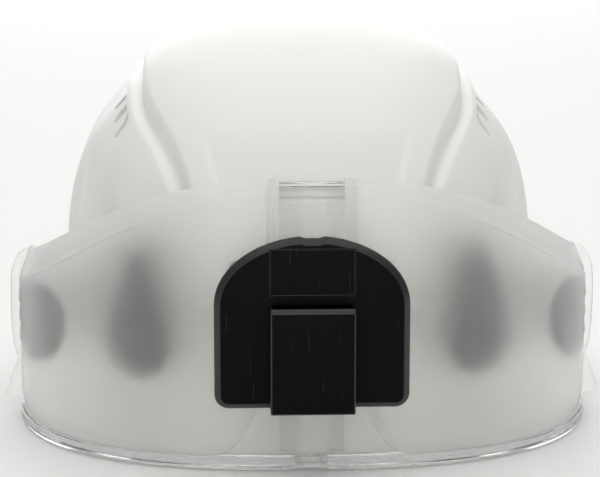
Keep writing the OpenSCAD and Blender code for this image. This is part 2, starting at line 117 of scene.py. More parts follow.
class HatColours(bpy.types.PropertyGroup):
    """Colours of the finishes, as sRGB hex codes."""

    shell: colour("Shell", "Moulded ABS", "F2F1ED")
    shield: colour("Shield", "Frosted polycarbonate", "FAFAF8")
    clear: colour("Clear parts", "Clear polycarbonate", "FDFDFD")
    plate: colour("Lamp plate", "Satin black ABS", "080808")
    nylon: colour("Black nylon", "Pivots, arms, knob and clip", "161617")
    # the rubber pads stand in as painted shade behind the shield
    rubber: colour("Rubber", "Shade pads behind the shield", "0F0F0F")
    band: colour("Headband", "Charcoal polyethylene", "2A2B2D")
    webbing: colour("Webbing", "Woven polyester", "2B2B30")
    pad: colour("Pads", "Brushed knit over foam", "242528")
    steel: colour("Steel", "Zinc-plated steel", "B9BCC0")
    rivet: colour("Rivets", "Aluminium", "C4C6C8")


def sizes():
    return bpy.context.scene.hat_sizes


def colours():
    return bpy.context.scene.hat_colours


# ---------------------------------------------------------------- small tools


def linear(code, alpha=1.0):
    """A hex code as linear RGBA."""
    parts = [int(code[i : i + 2], 16) / 255 for i in (0, 2, 4)]
    return tuple(p / 12.92 if p <= 0.04045 else ((p + 0.055) / 1.055) ** 2.4 for p in parts) + (alpha,)


def add(tree, kind, inputs=None, **settings):
    """Adds a node. A value in inputs is set on the socket, and a socket is linked to it."""
    node = tree.nodes.new(kind)
    for key, value in settings.items():
        setattr(node, key, value)
    for key, value in (inputs or {}).items():
        if isinstance(value, bpy.types.NodeSocket):
            tree.links.new(value, node.inputs[key])
        else:
            node.inputs[key].default_value = value
    return node


def finish(name):
    """An empty material and its tree, or None for the tree if it is already there."""
    if name in bpy.data.materials:
        return bpy.data.materials[name], None
    mat = bpy.data.materials.new(name)
    mat.use_nodes = True
    mat.node_tree.nodes.clear()
    return mat, mat.node_tree


def close(tree, shader):
    add(tree, "ShaderNodeOutputMaterial", {"Surface": shader.outputs[0]})


def step(t):
    """A smooth step from 0 to 1."""
    t = np.clip(t, 0.0, 1.0)
    return t * t * (3 - 2 * t)


def only(obj):
    """Makes obj the one selected and active object."""
    bpy.ops.object.select_all(action="DESELECT")
    obj.hide_set(False)
    obj.select_set(True)
    bpy.context.view_layer.objects.active = obj


def named(name):
    """The object an operator has just added, under its own name."""
    obj = bpy.context.active_object
    obj.name = name
    obj.data.name = name
    return obj


def points(obj):
    co = np.empty(len(obj.data.vertices) * 3)
    obj.data.vertices.foreach_get("co", co)
    return co.reshape(-1, 3)


def place(obj, co):
    obj.data.vertices.foreach_set("co", np.ascontiguousarray(co, dtype=np.float64).ravel())
    obj.data.update()


def edit(obj, *steps):
    """Runs the steps in edit mode with everything selected."""
    only(obj)
    bpy.ops.object.mode_set(mode="EDIT")
    bpy.ops.mesh.select_all(action="SELECT")
    for s in steps:
        s()
    bpy.ops.object.mode_set(mode="OBJECT")


def modifier(obj, kind, **settings):
    """Adds a modifier and applies it."""
    only(obj)
    mod = obj.modifiers.new(kind.lower(), kind)
    for key, value in settings.items():
        setattr(mod, key, value)
    bpy.ops.object.modifier_apply(modifier=mod.name)


def smooth(obj, angle=35):
    only(obj)
    bpy.ops.object.shade_smooth_by_angle(angle=math.radians(angle))


def wear(obj, body, mat, slot, *nodes):
    """Gives a finished piece its finish and body, and lets it stand for its CAD nodes."""
    obj.data.materials.clear()
    obj.data.materials.append(mat)
    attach(obj, body)
    if nodes:
        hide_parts(*nodes)
    return obj


def second(obj, mat, test):
    """Gives the faces whose normal passes the test a second finish."""
    obj.data.materials.append(mat)
    for f in obj.data.polygons:
        if test(f.normal):
            f.material_index = 1


def slanted(n):
    """Whether a face looks along none of the three axes, as a chamfer does."""
    return max(abs(n.x), abs(n.y), abs(n.z)) < 0.97


def paint(node, mat):
    """Gives a CAD node that is kept a better finish."""
    obj = NODES[node]
    obj.data.materials.clear()
    obj.data.materials.append(mat)


def eased(node, name, width, segments=2, angle=30):
    """A copy of a CAD node with its doubles merged and its edges rounded."""
    mesh = NODES[node].data.copy()
    obj = bpy.data.objects.new(name, mesh)
    bpy.context.scene.collection.objects.link(obj)
    mesh.name = name
    edit(
        obj,
        lambda: bpy.ops.mesh.remove_doubles(threshold=0.00001),
        lambda: bpy.ops.mesh.dissolve_limited(angle_limit=math.radians(1.0)),
    )
    modifier(obj, "BEVEL", width=width, segments=segments, limit_method="ANGLE",
             angle_limit=math.radians(angle), use_clamp_overlap=True, harden_normals=False)
    smooth(obj, 40)
    return obj


def cut(obj, cutter):
    """Takes the cutter out of obj, and the cutter out of the scene."""
    modifier(obj, "BOOLEAN", operation="DIFFERENCE", object=cutter, solver="EXACT")
    bpy.data.objects.remove(cutter)


def join(obj, *others):
    only(obj)
    for o in others:
        o.select_set(True)
    bpy.ops.object.join()
    return obj


def block(name, low, high, bevel=0.0, segments=2):
    """A rounded block between two corners, given in the shell's own plan, in metres."""
    low, high = Vector(low), Vector(high)
    bpy.ops.object.select_all(action="DESELECT")
    bpy.ops.mesh.primitive_cube_add(size=1)
    obj = named(name)
    mid, size = (low + high) / 2, high - low
    co = points(obj) * np.array(size) + np.array(mid) + np.array((0, SHIFT, 0))
    place(obj, co)
    if bevel:
        modifier(obj, "BEVEL", width=bevel, segments=segments, limit_method="NONE")
    return obj


# ---------------------------------------------------------------- finishes


def white_abs():
    """Injection-moulded ABS: soft gloss white with a very slight orange peel and handling haze."""
    mat, tree = finish("moulded_abs_white")
    if tree:
        at = add(tree, "ShaderNodeTexCoord").outputs["Object"]
        # the peel is about 2.4 mm across, the haze about 36 mm
        peel = add(tree, "ShaderNodeTexNoise", {"Vector": at, "Scale": 420.0, "Detail": 2.0})
        haze = add(tree, "ShaderNodeTexNoise", {"Vector": at, "Scale": 28.0, "Detail": 4.0, "Roughness": 0.6})
        rough = add(tree, "ShaderNodeMapRange", {"Value": haze.outputs["Fac"], "From Min": 0.35,
                                                 "From Max": 0.7, "To Min": 0.36, "To Max": 0.42})
        tone = add(tree, "ShaderNodeMix", {"Factor": haze.outputs["Fac"], "A": linear(colours().shell),
                                           "B": linear("F0EFEB")}, data_type="RGBA")
        bump = add(tree, "ShaderNodeBump", {"Height": peel.outputs["Fac"], "Strength": 0.03,
                                            "Distance": 0.0003})
        close(tree, add(tree, "ShaderNodeBsdfPrincipled", {
            "Base Color": tone.outputs["Result"], "Roughness": rough.outputs["Result"], "IOR": 1.53,
            "Normal": bump.outputs["Normal"], "Coat Weight": 0.15, "Coat Roughness": 0.12}))
    return mat


def frosted_pc():
    """Polycarbonate with a spark-eroded outer face: light passes blurred, over a fine satin grain."""
    mat, tree = finish("polycarbonate_frosted_satin")
    if tree:
        at = add(tree, "ShaderNodeTexCoord").outputs["Object"]
        # the grain is about 1.1 mm across, the cloud about 22 mm
        grain = add(tree, "ShaderNodeTexNoise", {"Vector": at, "Scale": 900.0, "Detail": 3.0,
                                                 "Roughness": 0.65})
        cloud = add(tree, "ShaderNodeTexNoise", {"Vector": at, "Scale": 45.0, "Detail": 3.0})
        rough = add(tree, "ShaderNodeMapRange", {"Value": cloud.outputs["Fac"], "To Min": 0.68,
                                                 "To Max": 0.76})
        bump = add(tree, "ShaderNodeBump", {"Height": grain.outputs["Fac"], "Strength": 0.3,
                                            "Distance": 0.0005})
        close(tree, add(tree, "ShaderNodeBsdfPrincipled", {
            "Base Color": linear(colours().shield), "Roughness": rough.outputs["Result"], "IOR": 1.24,
            "Transmission Weight": 0.92, "Coat Weight": 0.2, "Coat Roughness": 0.28, "Coat IOR": 1.5,
            "Normal": bump.outputs["Normal"]}))
    return mat


def highlight_white_pc():
    """The shield's edges as painted highlight: polycarbonate painted nearly white for the light its edges
    catch and pipe.
    """
    mat, tree = finish("polycarbonate_edges_painted_highlight")
    if tree:
        at = add(tree, "ShaderNodeTexCoord").outputs["Object"]
        # flow marks about 4.5 mm across
        flow = add(tree, "ShaderNodeTexNoise", {"Vector": at, "Scale": 220.0, "Detail": 2.0})
        rough = add(tree, "ShaderNodeMapRange", {"Value": flow.outputs["Fac"], "To Min": 0.18, "To Max": 0.3})
        close(tree, add(tree, "ShaderNodeBsdfPrincipled", {
            "Base Color": linear("FFFFFF"), "Roughness": rough.outputs["Result"], "IOR": 1.5,
            "Coat Weight": 0.5, "Coat Roughness": 0.1}))
    return mat


def shade_grey_pc():
    """The channel's steep wall at its foot as painted shade: a darker, a little violet grey for the shade it
    lies in.
    """
    mat, tree = finish("polycarbonate_wall_painted_shade")
    if tree:
        at = add(tree, "ShaderNodeTexCoord").outputs["Object"]
        # flow marks about 5.6 mm across
        flow = add(tree, "ShaderNodeTexNoise", {"Vector": at, "Scale": 180.0, "Detail": 2.0})
        rough = add(tree, "ShaderNodeMapRange", {"Value": flow.outputs["Fac"], "To Min": 0.3, "To Max": 0.4})
        close(tree, add(tree, "ShaderNodeBsdfPrincipled", {
            "Base Color": linear("8C899A"), "Roughness": rough.outputs["Result"], "IOR": 1.45,
            "Transmission Weight": 0.4}))
    return mat


def clear_pc():
    """Clear moulded polycarbonate, glossy, nearly colourless."""
    mat, tree = finish("polycarbonate_clear_moulded")
    if tree:
        at = add(tree, "ShaderNodeTexCoord").outputs["Object"]
        # flow marks about 6.3 mm across
        flow = add(tree, "ShaderNodeTexNoise", {"Vector": at, "Scale": 160.0, "Detail": 2.0})
        rough = add(tree, "ShaderNodeMapRange", {"Value": flow.outputs["Fac"], "To Min": 0.03,
                                                 "To Max": 0.12})
        bump = add(tree, "ShaderNodeBump", {"Height": flow.outputs["Fac"], "Strength": 0.08,
                                            "Distance": 0.0004})
        close(tree, add(tree, "ShaderNodeBsdfPrincipled", {
            "Base Color": linear(colours().clear), "Roughness": rough.outputs["Result"], "IOR": 1.5,
            "Transmission Weight": 0.97, "Normal": bump.outputs["Normal"]}))
    return mat


def moulded(name, code, low, high, grain, depth, lift=0.0):
    """A dark moulded plastic: satin, with a fine grain and uneven sheen. grain is its size in metres."""
    mat, tree = finish(name)
    if tree:
        at = add(tree, "ShaderNodeTexCoord").outputs["Object"]
        fine = add(tree, "ShaderNodeTexNoise", {"Vector": at, "Scale": 1 / grain, "Detail": 3.0,
                                                "Roughness": 0.7})
        # handled patches about 18 mm across
        wide = add(tree, "ShaderNodeTexNoise", {"Vector": at, "Scale": 55.0, "Detail": 3.0})
        rough = add(tree, "ShaderNodeMapRange", {"Value": wide.outputs["Fac"], "From Min": 0.3,
                                                 "From Max": 0.7, "To Min": low, "To Max": high})
        base = linear(code)
        pale = tuple(min(1, c * 1.5 + 0.004 + lift) for c in base[:3]) + (1,)
        tone = add(tree, "ShaderNodeMix", {"Factor": wide.outputs["Fac"], "A": base, "B": pale},
                   data_type="RGBA")
        bump = add(tree, "ShaderNodeBump", {"Height": fine.outputs["Fac"], "Strength": depth,
                                            "Distance": 0.0004})
        close(tree, add(tree, "ShaderNodeBsdfPrincipled", {
            "Base Color": tone.outputs["Result"], "Roughness": rough.outputs["Result"], "IOR": 1.5,
            "Normal": bump.outputs["Normal"]}))
    return mat


def black_plate():
    """Satin black ABS of the lamp bracket, with fine scratches from lamps going on and off."""
    mat, tree = finish("satin_abs_black_scratched")
    if tree:
        at = add(tree, "ShaderNodeTexCoord").outputs["Object"]
        # the moulding's grain, about 0.7 mm across
        fine = add(tree, "ShaderNodeTexNoise", {"Vector": at, "Scale": 1500.0, "Detail": 2.0})
        lines = None
        for turn, span in ((0.5, 150.0), (-0.9, 190.0), (1.4, 120.0)):
            turned = add(tree, "ShaderNodeMapping", {"Vector": at, "Rotation": (0, turn, 0),
                                                     "Scale": (span * 9, span, span * 0.35)})
            noise = add(tree, "ShaderNodeTexNoise", {"Vector": turned.outputs["Vector"], "Scale": 1.0,
                                                     "Detail": 1.0})
            thin = add(tree, "ShaderNodeMapRange", {"Value": noise.outputs["Fac"], "From Min": 0.76,
                                                    "From Max": 0.80})
            lines = thin.outputs["Result"] if lines is None else add(
                tree, "ShaderNodeMath", {0: lines, 1: thin.outputs["Result"]}, operation="MAXIMUM").outputs[0]
        tone = add(tree, "ShaderNodeMix", {"Factor": lines, "A": linear(colours().plate),
                                           "B": linear("2C2C2C")},
                   data_type="RGBA")
        rough = add(tree, "ShaderNodeMapRange", {"Value": fine.outputs["Fac"], "To Min": 0.33,
                                                 "To Max": 0.45})
        low = add(tree, "ShaderNodeBump", {"Height": fine.outputs["Fac"], "Strength": 0.08,
                                           "Distance": 0.0003})
        bump = add(tree, "ShaderNodeBump", {"Height": lines, "Strength": 0.15, "Distance": 0.0003,
                                            "Normal": low.outputs["Normal"]}, invert=True)
        close(tree, add(tree, "ShaderNodeBsdfPrincipled", {
            "Base Color": tone.outputs["Result"], "Roughness": rough.outputs["Result"], "IOR": 1.5,
            "Specular IOR Level": 0.07, "Normal": bump.outputs["Normal"]}))
    return mat


def black_edge_highlight():
    """The same satin black ABS on the chamfers, painted a lighter black as painted highlight for the light
    the chamfers catch.
    """
    return moulded("satin_abs_black_edges_painted_highlight", "1A1A1A", 0.34, 0.42, 0.0009, 0.05)


def black_nylon():
    """Glass-filled nylon: black, satin, with a slightly rough skin."""
    return moulded("glass_filled_nylon_black", colours().nylon, 0.42, 0.58, 0.0009, 0.18)


def black_rubber():
    """Moulded rubber: matte black, a little dusty; used for the pads that stand in as painted shade behind
    the shield.
    """
    return moulded("moulded_rubber_black_painted_shade", colours().rubber, 0.7, 0.86, 0.0012, 0.25, 0.004)


def charcoal_pe():
    """Polyethylene strip: charcoal, soft waxy sheen."""
    return moulded("polyethylene_charcoal", colours().band, 0.34, 0.5, 0.0016, 0.1)


def white_acetal():
    """Acetal: milky white, slick, even."""
    return moulded("acetal_white", "E4E3DE", 0.3, 0.42, 0.0014, 0.05)


def woven(name, code, across, along):
    """Plain polyester webbing: ribs across the strap and cords along it, on the strap's own UV map."""
    mat, tree = finish(name)
    if tree:
        uv = add(tree, "ShaderNodeUVMap", uv_map="UVMap").outputs["UV"]
        split = add(tree, "ShaderNodeSeparateXYZ", {"Vector": uv})

        def wave(socket, count, shift=0.0):
            turns = add(tree, "ShaderNodeMath", {0: socket, 1: count * math.tau, 2: shift},
                        operation="MULTIPLY_ADD")
            sine = add(tree, "ShaderNodeMath", {0: turns.outputs[0]}, operation="SINE")
            return add(tree, "ShaderNodeMath", {0: sine.outputs[0]}, operation="ABSOLUTE").outputs[0]

        ribs = wave(split.outputs["X"], along)
        cords = wave(split.outputs["Y"], across, 0.6)
        weave = add(tree, "ShaderNodeMath", {0: ribs, 1: cords}, operation="MULTIPLY").outputs[0]
        at = add(tree, "ShaderNodeTexCoord").outputs["Object"]
        # fuzz about 0.7 mm across
        fuzz = add(tree, "ShaderNodeTexNoise", {"Vector": at, "Scale": 1400.0, "Detail": 2.0})
        tone = add(tree, "ShaderNodeMix", {"Factor": weave, "A": linear("0B0B0C"), "B": linear(code)},
                   data_type="RGBA")
        low = add(tree, "ShaderNodeBump", {"Height": fuzz.outputs["Fac"], "Strength": 0.2,
                                           "Distance": 0.0002})
        bump = add(tree, "ShaderNodeBump", {"Height": weave, "Strength": 0.7, "Distance": 0.0005,
                                            "Normal": low.outputs["Normal"]})
        close(tree, add(tree, "ShaderNodeBsdfPrincipled", {
            "Base Color": tone.outputs["Result"], "Roughness": 0.78, "Sheen Weight": 0.25,
            "Sheen Roughness": 0.5, "Normal": bump.outputs["Normal"]}))
    return mat


def knit_pad():
    """Brushed knit over foam: dark grey, soft nap with small pores."""
    mat, tree = finish("brushed_knit_grey")
    if tree:
        at = add(tree, "ShaderNodeTexCoord").outputs["Object"]
        # pores about 1.9 mm apart, a nap of 0.9 mm, worn patches of 17 mm
        pores = add(tree, "ShaderNodeTexVoronoi", {"Vector": at, "Scale": 520.0})
        nap = add(tree, "ShaderNodeTexNoise", {"Vector": at, "Scale": 1100.0, "Detail": 3.0})
        worn = add(tree, "ShaderNodeTexNoise", {"Vector": at, "Scale": 60.0, "Detail": 3.0})
        tone = add(tree, "ShaderNodeMix", {"Factor": worn.outputs["Fac"], "A": linear(colours().pad),
                                           "B": linear("35373B")}, data_type="RGBA")
        low = add(tree, "ShaderNodeBump", {"Height": nap.outputs["Fac"], "Strength": 0.3, "Distance": 0.0003})
        bump = add(tree, "ShaderNodeBump", {"Height": pores.outputs["Distance"], "Strength": 0.5,
                                            "Distance": 0.0005, "Normal": low.outputs["Normal"]})
        close(tree, add(tree, "ShaderNodeBsdfPrincipled", {
            "Base Color": tone.outputs["Result"], "Roughness": 0.9, "Sheen Weight": 0.4,
            "Sheen Roughness": 0.4, "Normal": bump.outputs["Normal"]}))
    return mat


def metal(name, code, low, high):
    """Plated or plain metal with a fine tumbled finish; its roughness wanders a little."""
    mat, tree = finish(name)
    if tree:
        at = add(tree, "ShaderNodeTexCoord").outputs["Object"]
        # the casting's grain, about 1.4 mm across
        noise = add(tree, "ShaderNodeTexNoise", {"Vector": at, "Scale": 700.0, "Detail": 3.0})
        rough = add(tree, "ShaderNodeMapRange", {"Value": noise.outputs["Fac"], "To Min": low,
                                                 "To Max": high})
        bump = add(tree, "ShaderNodeBump", {"Height": noise.outputs["Fac"], "Strength": 0.08,
                                            "Distance": 0.0002})
        close(tree, add(tree, "ShaderNodeBsdfPrincipled", {
            "Base Color": linear(code), "Metallic": 1.0, "Roughness": rough.outputs["Result"],
            "Normal": bump.outputs["Normal"]}))
    return mat


def zinc_steel():
    """Zinc-plated steel: pale grey, half bright."""
    return metal("zinc_plated_steel", colours().steel, 0.25, 0.42)


def rivet_aluminium():
    """Aluminium blind rivets: pale, satin from the setting tool."""
    return metal("rivet_aluminium", colours().rivet, 0.3, 0.45)


# ---------------------------------------------------------------- shell


def plan_gap(x, y):
    """How far a point is from the plan's spine, which is what each plan arc turns round."""
    return np.hypot(x, y - np.clip(y, FRONT_C, REAR_C))


def panel_half(y):
    """Half width of the crown panel at y: narrow over the brow, widest over the ears."""
    k = 0.004
    front = 0.0497 + 0.51 * (y + 0.107)
    back = 0.0735 - 0.021 * (y - 0.040) / 0.120
    flat = np.full_like(y, 0.0727)
    return -k * np.log(np.exp(-front / k) + np.exp(-back / k) + np.exp(-flat / k))


def dome_distance(direction, swell):
    """How far along each direction, from inside the hat, the dome grown by swell is met."""
    s = sizes()
    near = np.full(len(direction), 0.02)
    far = np.full(len(direction), 0.35)
    for _ in range(34):
        mid = (near + far) / 2
        p = direction * mid[:, None] + INNER
        flat = plan_gap(p[:, 0], p[:, 1]) / (s.shell_half_width + swell)
        rise = np.clip(p[:, 2] - s.dome_start, 0, None) / (s.dome_rise + swell)
        out = flat**s.dome_power + rise**s.dome_power > 1
        far = np.where(out, mid, far)
        near = np.where(out, near, mid)
    return (near + far) / 2


def dome_point(direction, swell):
    return direction * dome_distance(direction, swell)[:, None] + INNER


def relief(p):
    """How far the shell's face stands over the plain dome, with its panel, groove, lobes and steps."""
    s = sizes()
    x, y, z = np.abs(p[:, 0]) * 1000, p[:, 1] * 1000, p[:, 2] * 1000
    half = panel_half(p[:, 1]) * 1000
    e = x - half
    high = step((z - 52) / 16)
    swell = s.panel_raise * 1000 * step((1.6 - e) / 4.6) * high
    # a soft groove runs along the panel's foot
    swell -= 1.5 * np.exp(-(((e - 2.2) / 1.7) ** 2)) * high
    # the lobe beside it ends in the vent bay, which opens outwards
    along = step((y + 66) / 18) * step((62 - y) / 22)
    swell += 1.1 * step((e - 3.4) / 2.4) * step((26 - e) / 14) * step((z - 100) / 20) * step((110 - y) / 30)
    swell -= 2.6 * step((e - 7.6) / 1.5) * step((30 - e) / 18) * along
    # the temple step widens downwards, behind the shield's end
    edge = 85 + 0.45 * (z - 100)
    front = step((-y - 12) / 18)
    ramp = np.clip((119 - z) / 15, 0, 1.2) * step((z - 30) / 40)
    swell -= (0.5 * step((134 - z) / 14) + 3.0 * ramp) * step((x - edge) / 2.2) * front * step((z - 20) / 30)
    # the field over the brow is sunk, with a crease at each side that fades upwards
    field = step((0.80 - x / half) / 0.035) * step((136 - z) / 18)
    swell -= 1.3 * field * step((-y - 30) / 30) * step((z - 30) / 30)
    return swell / 1000


def shell_face(name, segments, rings, deeper=0.0):
    """A sphere laid onto the dome. Its poles are at the ears; its rings are packed along the panel's edge."""
    bpy.ops.object.select_all(action="DESELECT")
    bpy.ops.mesh.primitive_uv_sphere_add(segments=segments, ring_count=rings, radius=1)
    obj = named(name)
    co = points(obj)
    side = np.degrees(np.arcsin(np.clip(co[:, 2], -1, 1)))
    turn = np.round(np.degrees(np.arctan2(co[:, 1], co[:, 0])), 4)
    turns, which = np.unique(turn, return_inverse=True)

    def aim(side_deg, turn_deg):
        a, b = np.radians(side_deg), np.radians(turn_deg)
        return np.stack((np.sin(a), np.cos(a) * np.sin(b), np.cos(a) * np.cos(b)), 1)

    low, high = np.full(len(turns), 2.0), np.full(len(turns), 80.0)
    for _ in range(24):
        mid = (low + high) / 2
        p = dome_point(aim(mid, turns), 0.0)
        over = p[:, 0] > panel_half(p[:, 1])
        high = np.where(over, mid, high)
        low = np.where(over, low, mid)
    edge = ((low + high) / 2)[which]
    k, band = np.abs(side) / 90, 4.6
    inner = (edge - band) * k / 0.42
    belt = edge - band + (k - 0.42) / 0.16 * 2 * band
    outer = edge + band + (90 - edge - band) * (k - 0.58) / 0.42
    warped = np.where(k < 0.42, inner, np.where(k < 0.58, belt, outer)) * np.sign(side)
    ray = aim(warped, turn)
    swell = relief(dome_point(ray, 0.0))
    p = dome_point(ray, swell - deeper)
    place(obj, p + np.array((0, SHIFT, 0)))
    edit(
        obj,
        lambda: bpy.ops.mesh.bisect(plane_co=(0, 0, 0.0002), plane_no=(0, 0, 1), clear_inner=True),
        lambda: bpy.ops.mesh.select_all(action="SELECT"),
        lambda: bpy.ops.mesh.normals_make_consistent(inside=False),
    )
    return obj


def brim_reach(angle):
    """Plan radius of the brim's edge from its arc centre; the peak is a wider arc over the brow."""
    s = sizes()
    ring = s.shell_half_width + s.brim_out
    if math.sin(angle) >= 0:
        return ring
    down = 0.027 * math.sin(angle)
    peak = -down + math.sqrt(down * down + 0.095**2 - 0.027**2)
    k = 0.002
    return k * math.log(math.exp(ring / k) + math.exp(peak / k))


class HAT_OT_shell(bpy.types.Operator):
    """Makes the moulded shell with its crown panel, side vents, brim and key pockets"""

    bl_idname = "hat.shell"
    bl_label = "Shell"

    def execute(self, context):
        s = sizes()
        shell = shell_face("Shell", 300, 190)
        modifier(shell, "SOLIDIFY", thickness=s.shell_wall, offset=-1, use_even_offset=False)
        # the vents run along the shell's sides, square to its slope
        tools = []
        for side in (-1, 1):
            for k in range(3):
                mid = Vector((side * (0.0845 + 0.0008 * k), -0.054 + 0.013 * k + SHIFT, 0.1345 + 0.0048 * k))
                bpy.ops.object.select_all(action="DESELECT")
                bpy.ops.mesh.primitive_cube_add(size=1)
                tool = named("vent_cutter")
                co = points(tool) * np.array((0.026, 0.0055, 0.012))
                place(tool, co)
                modifier(tool, "BEVEL", width=0.0018, segments=4, limit_method="NONE")
                lean = math.radians(-36 * side)
                co = points(tool)
                turned = np.stack((co[:, 0] * math.cos(lean) + co[:, 2] * math.sin(lean), co[:, 1],
                                   -co[:, 0] * math.sin(lean) + co[:, 2] * math.cos(lean)), 1)
                place(tool, turned + np.array(mid))
                tools.append(tool)
        bpy.ops.object.select_all(action="DESELECT")
        bpy.ops.mesh.primitive_cylinder_add(vertices=72, radius=0.037, depth=0.08)
        arch = named("arch_cutter")
        co = points(arch)
        place(arch, np.stack((co[:, 0], co[:, 2] + 0.130 + SHIFT, co[:, 1] + 0.006), 1))
        cutter = join(arch, *tools)
        edit(cutter, lambda: bpy.ops.mesh.normals_make_consistent(inside=False))
        # the brim: a flat ring round the foot, widened to a short peak over the brow
        count = 240
        bpy.ops.object.select_all(action="DESELECT")
        bpy.ops.mesh.primitive_circle_add(vertices=count, radius=1, fill_type="NOTHING")
        brim = named("brim")
        ring = []
        for i in range(count):
            a = math.tau * i / count
            r = brim_reach(a)
            shift = math.copysign(1, math.sin(a)) if abs(math.sin(a)) > 1e-9 else 0
            c = REAR_C if shift > 0 else FRONT_C
            c = 0.007 if shift == 0 else c
            ring.append((r * math.cos(a), r * math.sin(a) + c + SHIFT, 0.0))
        place(brim, np.array(ring))
        edit(brim, lambda: bpy.ops.mesh.extrude_edges_move())
        co = points(brim)
        for i in range(count):
            a = math.tau * i / count
            r = s.shell_half_width - 0.0022
            c = REAR_C if math.sin(a) > 1e-9 else FRONT_C if math.sin(a) < -1e-9 else 0.007
            co[count + i] = (r * math.cos(a), r * math.sin(a) + c + SHIFT, 0.0)
        place(brim, co)
        edit(brim, lambda: bpy.ops.mesh.normals_make_consistent(inside=False))
        if brim.data.polygons[0].normal.z > 0:
            edit(brim, lambda: bpy.ops.mesh.flip_normals())
        modifier(brim, "SOLIDIFY", thickness=s.brim_thick, offset=-1)
        modifier(brim, "BEVEL", width=0.0009, segments=3, limit_method="ANGLE", angle_limit=math.radians(60))
        arch_copy = bpy.data.objects.new("arch_copy", cutter.data.copy())
        context.scene.collection.objects.link(arch_copy)
        cut(brim, arch_copy)
        cut(shell, cutter)
        pockets = []
        for cy, angle in ((FRONT_C + 0.004, 0), (FRONT_C + 0.004, 180), (FRONT_C, -50), (FRONT_C, -130),
                          (REAR_C, 40), (REAR_C, 140)):
            pocket = block("pocket", (0.1066, -0.012 - SHIFT, 0.022), (0.1095, 0.012 - SHIFT, 0.036), 0.0008)
            a = math.radians(angle)
            co = points(pocket)
            x = co[:, 0] * math.cos(a) - co[:, 1] * math.sin(a)
            y = co[:, 0] * math.sin(a) + co[:, 1] * math.cos(a) + cy + SHIFT
            place(pocket, np.stack((x, y, co[:, 2]), 1))
            pockets.append(pocket)
        join(shell, brim, *pockets)
        smooth(shell, 42)
        wear(shell, HELMET, white_abs(), "white_shell", "shell")
        return {"FINISHED"}


# ---------------------------------------------------------------- shield


def top_edge(x):
    s = sizes()
    return s.shield_top - s.shield_drop * np.minimum(np.abs(x) / s.shield_half_width, 1) ** 2.4


def fold_line(x):
    """Height of the fold, over which the shield leans back towards the shell."""
    s = sizes()
    return s.fold_top - s.fold_drop * np.minimum(np.abs(x) / s.shield_half_width, 1) ** 2.1


def channel_edge(z):
    """Half width of the channel at height z; it flares like a bell at its foot."""
    return sizes().channel_half + 0.47 * np.clip(0.042 - z, 0, None) + 0.0078 * np.exp((0.006 - z) / 0.0039)


def shield_height(x, v):
    """Height of row v at x."""
    s = sizes()
    fold = fold_line(x)
    low = s.shield_foot + v / FOLD_ROW * (fold - s.shield_foot)
    high = fold + (v - FOLD_ROW) / (1 - FOLD_ROW) * (top_edge(x) - fold)
    return np.where(v <= FOLD_ROW, low, high)


def shield_point(x, v, deep=0.0):
    """A point on the shield's face, from the plan's half width x, the row v and the depth into the wall."""
    s = sizes()
    q = np.minimum(np.abs(x) / s.shield_half_width, 1)
    w = (1 - q**PLAN_POWER) ** (1 / PLAN_POWER)
    z = shield_height(x, v)
    over = (z - fold_line(x)) * 1000
    lean = s.fold_lean * np.logaddexp(0, over / 0.3) * 0.3 / 1000
    foot = 0.0017 * np.clip(1 - (z - s.shield_foot) / 0.008, 0, None) ** 2
    crease = 0.00045 * np.exp(-((over / 0.9) ** 2))
    d = deep + lean + foot + crease
    wall = 1 - step((np.abs(x) - channel_edge(z)) / WALL_RUN)
    return np.stack((np.sign(x) * q * (s.shield_half_width - d),
                     s.shield_centre - (s.shield_depth - d) * w + s.channel_depth * wall + SHIFT, z), 1)


def shield_row(v):
    """Packs the rows at the rounded foot and at the fold."""
    return np.interp(v, (0, 0.14, 0.62, 0.74, 1), (0, 0.06, 0.785, 0.815, 1))


def shield_column(u, v):
    """The plan half width of a column: packed along the channel's wall, then even round the bend."""
    s = sizes()
    e = channel_edge(shield_height(np.zeros_like(v), v))
    a = np.abs(u)
    start = np.arccos(np.clip(((e + WALL_RUN) / s.shield_half_width) ** 1.25, 0, 1))
    bend = start + (math.radians(5.45) - start) * np.clip((a - WALL_TO) / (1 - WALL_TO), 0, 1)
    wall = e + WALL_RUN * (a - WALL_FROM) / (WALL_TO - WALL_FROM)
    flat = np.where(a < WALL_FROM, e * a / WALL_FROM, wall)
    return np.sign(u) * np.where(a < WALL_TO, flat, s.shield_half_width * np.cos(bend) ** 0.8)


def prism(name, outline, y1, y2):
    """A flat outline in X and Z, run along Y from y1 to y2 in the shell's own plan."""
    bpy.ops.object.select_all(action="DESELECT")
    bpy.ops.mesh.primitive_circle_add(vertices=len(outline), radius=1, fill_type="NGON")
    obj = named(name)
    place(obj, np.array([(x, y1 + SHIFT, z) for x, z in outline]))
    edit(obj, lambda: bpy.ops.mesh.extrude_region_move(TRANSFORM_OT_translate={"value": (0, y2 - y1, 0)}),
         lambda: bpy.ops.mesh.select_all(action="SELECT"),
         lambda: bpy.ops.mesh.normals_make_consistent(inside=False))
    return obj


def shield_finish(a, t):
    """Which finish a face has, from its place on the flat grid: a across, from the middle, and t upwards."""
    foot, top, bell = t < 0.014, t > 0.945, t < 0.46
    # the foot, the top edge and the rails beside the channel are painted white as painted highlight
    if foot and a > WALL_TO or top and a > 0.15:
        return PAINTED_HIGHLIGHT
    if not WALL_FROM < a < WALL_TO:
        return FROSTED
    if a > 0.225:
        return PAINTED_HIGHLIGHT
    # the channel's wall at the bell is painted grey as painted shade
    if bell:
        return PAINTED_SHADE
    return PAINTED_HIGHLIGHT if a < 0.175 else FROSTED


